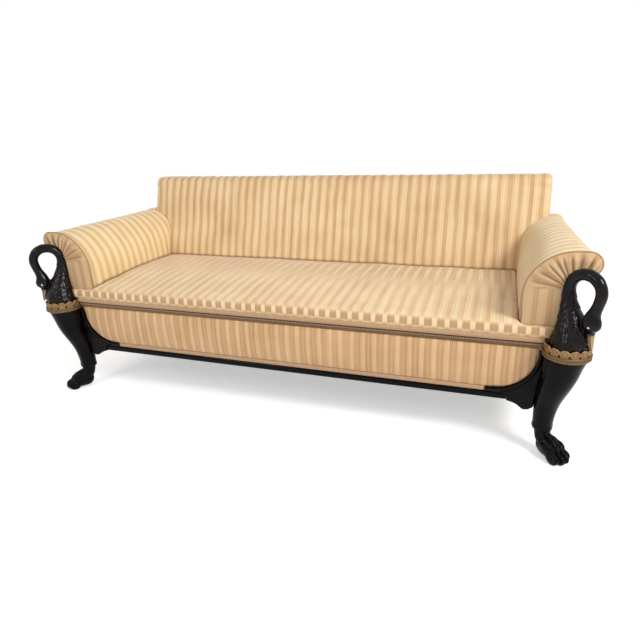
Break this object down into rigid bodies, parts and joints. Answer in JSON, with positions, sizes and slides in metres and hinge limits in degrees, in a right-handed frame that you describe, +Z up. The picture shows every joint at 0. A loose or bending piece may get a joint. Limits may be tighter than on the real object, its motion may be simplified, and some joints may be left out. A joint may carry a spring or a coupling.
{
  "type": "carved sofa",
  "caption": "Long upholstered sofa with rolled arms, a leaning back and a sprung seat; ebonised front corners carved as swans standing on paw legs with gilt collars.",
  "frame": {"origin": "on the floor, at the centre of the sofa's footprint", "axes": "+X to the viewer's right along the length, -Y out of the front of the seat, +Z up"},
  "size_m": [2.247, 0.8838, 0.9],
  "materials": {
    "ebonised_wood": "black polish, glossy",
    "gilt_metal": "antique gilt",
    "eye_bead": "white glossy bead",
    "striped_satin": "satin stripes on matte ground",
    "plain_satin": "plain satin band",
    "brown_braid": "woven braid and piping",
    "jute_webbing": "coarse woven jute",
    "spring_steel": "drawn wire",
    "lining_cloth": "plain black lining",
    "beech_frame": "sawn hardwood"
  },
  "bodies": {
    "root": {"arm_back_panel_left": "striped_satin", "arm_back_panel_right": "striped_satin", "arm_facing_left": "striped_satin", "arm_facing_right": "striped_satin", "arm_front_board_left": "beech_frame", "arm_front_board_right": "beech_frame", "arm_outside_cover_left": "striped_satin", "arm_outside_cover_right": "striped_satin", "arm_pad_left": "striped_satin", "arm_pad_right": "striped_satin", "arm_piping_left": "brown_braid", "arm_piping_right": "brown_braid", "arm_rear_board_left": "beech_frame", "arm_rear_board_right": "beech_frame", "arm_scroll_rail_left": "beech_frame", "arm_scroll_rail_right": "beech_frame", "arm_side_board_left": "beech_frame", "arm_side_board_right": "beech_frame", "arm_stuffing_rail_left": "beech_frame", "arm_stuffing_rail_right": "beech_frame", "arm_webbing": "jute_webbing", "back_lower_rail": "beech_frame", "back_outside_cover": "striped_satin", "back_pad": "striped_satin", "back_post_left": "beech_frame", "back_post_right": "beech_frame", "back_seat_rail": "beech_frame", "back_top_rail": "beech_frame", "back_upright_left": "beech_frame", "back_upright_right": "beech_frame", "back_webbing": "jute_webbing", "collar_left": "gilt_metal", "collar_right": "gilt_metal", "corner_block_screws": "spring_steel", "corner_blocks": "beech_frame", "dust_cover": "lining_cloth", "front_leg_left": "ebonised_wood", "front_leg_right": "ebonised_wood", "front_moulding": "ebonised_wood", "front_panel": "striped_satin", "front_panel_welt": "plain_satin", "front_seat_rail": "beech_frame", "leg_dowels": "beech_frame", "seat_braces": "beech_frame", "seat_braid": "brown_braid", "seat_hessian": "jute_webbing", "seat_pad": "striped_satin", "seat_springs": "spring_steel", "seat_webbing": "jute_webbing", "seat_welt": "plain_satin", "side_moulding_left": "ebonised_wood", "side_moulding_right": "ebonised_wood", "side_seat_rail_left": "beech_frame", "side_seat_rail_right": "beech_frame", "swan_eyes": "eye_bead", "swan_left": "ebonised_wood", "swan_right": "ebonised_wood", "wing_bracket_left": "ebonised_wood", "wing_bracket_right": "ebonised_wood"}
  },
  "joints": []
}
